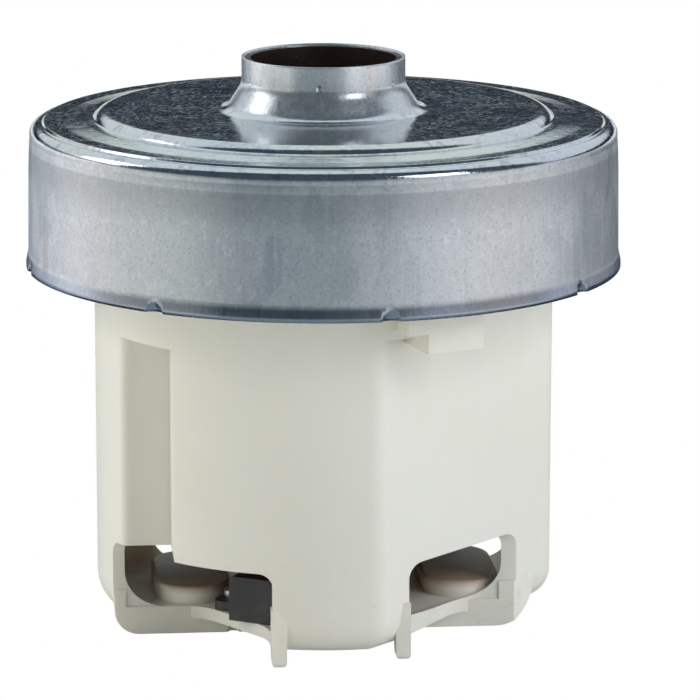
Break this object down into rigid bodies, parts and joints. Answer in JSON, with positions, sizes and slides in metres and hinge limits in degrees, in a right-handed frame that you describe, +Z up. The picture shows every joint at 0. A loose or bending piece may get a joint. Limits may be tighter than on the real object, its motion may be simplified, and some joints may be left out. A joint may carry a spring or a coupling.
{
  "type": "vacuum motor unit",
  "caption": "Vacuum cleaner motor with a round sheet-metal fan cover, a central air inlet and a moulded cream can that holds a brushed motor, standing on its feet.",
  "frame": {"origin": "on the rotor's axis, at the plane that the feet stand on", "axes": "+Z up along the rotor's axis towards the air inlet, -Y towards the picture's camera, +X to the right"},
  "size_m": [0.136, 0.136, 0.1302],
  "materials": {
    "galvanised_steel": "matt galvanised sheet, pressed",
    "seal_rubber": "glossy dark brown",
    "gasket_rubber": "matt black",
    "diffuser_plastic": "moulded, matt",
    "can_plastic": "moulded cream, satin",
    "bridge_plastic": "moulded cream, satin",
    "lamination_steel": "stacked sheets, edges visible",
    "zinc_steel": "zinc plated",
    "small_screw_steel": "zinc plated",
    "shaft_steel": "ground",
    "armature_steel": "stacked sheets, turned",
    "armature_wire": "enamelled copper",
    "armature_insulator": "pressed fibre",
    "armature_winding": "enamelled copper under varnish",
    "commutator_resin": "moulded resin",
    "commutator_copper": "turned copper",
    "cushion_rubber": "matt black",
    "spring_washer_steel": "spring steel",
    "retainer_steel": "pressed sheet",
    "impeller_aluminium": "pressed sheet",
    "blade_aluminium": "pressed sheet",
    "shroud_aluminium": "spun sheet",
    "bush_metal": "turned",
    "washer_steel": "zinc plated",
    "nut_steel": "zinc plated",
    "spacer_steel": "turned",
    "pole_insulator_plastic": "moulded",
    "field_coil_enamel": "enamelled copper, bound",
    "field_wire_enamel": "red enamelled copper",
    "holder_resin": "moulded black resin",
    "tube_brass": "drawn sheet",
    "carbon": "pressed carbon",
    "spring_steel": "drawn wire",
    "plug_plastic": "moulded",
    "terminal_tin": "tinned sheet",
    "race_steel": "ground",
    "ball_steel": "polished",
    "cage_steel": "pressed",
    "shield_steel": "pressed"
  },
  "bodies": {
    "housing": {"fan_cover": "galvanised_steel", "inlet_seal_ring": "seal_rubber", "cover_gasket": "gasket_rubber", "diffuser": "diffuser_plastic", "motor_housing": "can_plastic", "bearing_bridge": "bridge_plastic", "bridge_screws": "small_screw_steel", "stator_core": "lamination_steel", "stator_screws": "zinc_steel", "brush_holder_screws": "small_screw_steel", "lower_bearing_cushion": "cushion_rubber", "preload_washer": "spring_washer_steel", "upper_bearing_retainer": "retainer_steel", "retainer_screws": "small_screw_steel", "pole_insulator_front": "pole_insulator_plastic", "field_coil_core_front": "field_coil_enamel", "field_coil_wire_front": "field_wire_enamel", "brush_holder_front": "holder_resin", "brush_tube_front": "tube_brass", "brush_spring_front": "spring_steel", "brush_plug_front": "plug_plastic", "brush_terminal_front": "terminal_tin", "pole_insulator_rear": "pole_insulator_plastic", "field_coil_core_rear": "field_coil_enamel", "field_coil_wire_rear": "field_wire_enamel", "brush_holder_rear": "holder_resin", "brush_tube_rear": "tube_brass", "brush_spring_rear": "spring_steel", "brush_plug_rear": "plug_plastic", "brush_terminal_rear": "terminal_tin", "lower_bearing_outer_race": "race_steel", "lower_bearing_shields": "shield_steel", "upper_bearing_outer_race": "race_steel", "upper_bearing_shields": "shield_steel"},
    "rotor": {"rotor_shaft": "shaft_steel", "armature_core": "armature_steel", "armature_slot_wires": "armature_wire", "armature_insulator_lower": "armature_insulator", "armature_insulator_upper": "armature_insulator", "armature_winding_lower": "armature_winding", "armature_winding_upper": "armature_winding", "commutator_hub": "commutator_resin", "commutator_bars": "commutator_copper", "lower_bearing_inner_race": "race_steel", "upper_bearing_inner_race": "race_steel", "impeller_back_plate": "impeller_aluminium", "impeller_blades": "blade_aluminium", "impeller_front_shroud": "shroud_aluminium", "impeller_bush": "bush_metal", "impeller_washer": "washer_steel", "impeller_nut": "nut_steel", "shaft_spacer": "spacer_steel"},
    "lower_ball_set": {"lower_bearing_balls": "ball_steel", "lower_bearing_cage": "cage_steel"},
    "upper_ball_set": {"upper_bearing_balls": "ball_steel", "upper_bearing_cage": "cage_steel"},
    "brush_front": {"carbon_brush_front": "carbon"},
    "brush_rear": {"carbon_brush_rear": "carbon"}
  },
  "joints": [
    {"name": "rotor_spin", "type": "hinge", "parent": "housing", "child": "rotor", "pos_m": [0, 0, 0.046], "axis": [0, 0, 1], "continuous": true},
    {"name": "lower_balls_spin", "type": "hinge", "parent": "housing", "child": "lower_ball_set", "pos_m": [0, 0, 0.005], "axis": [0, 0, 1], "continuous": true},
    {"name": "upper_balls_spin", "type": "hinge", "parent": "housing", "child": "upper_ball_set", "pos_m": [0, 0, 0.0881], "axis": [0, 0, 1], "continuous": true},
    {"name": "brush_front_slide", "type": "slide", "parent": "housing", "child": "brush_front", "axis": [-0.5, -0.866, 0], "range_m": [0, 0.005], "stiffness_N_per_m": 100, "springref_m": -0.015, "deforming": ["brush_spring_front"]},
    {"name": "brush_rear_slide", "type": "slide", "parent": "housing", "child": "brush_rear", "axis": [0.5, 0.866, 0], "range_m": [0, 0.005], "stiffness_N_per_m": 100, "springref_m": -0.015, "deforming": ["brush_spring_rear"]}
  ],
  "couplings": [
    {"joint": "lower_balls_spin", "follows": "rotor_spin", "ratio": 0.4087},
    {"joint": "upper_balls_spin", "follows": "rotor_spin", "ratio": 0.3671}
  ]
}
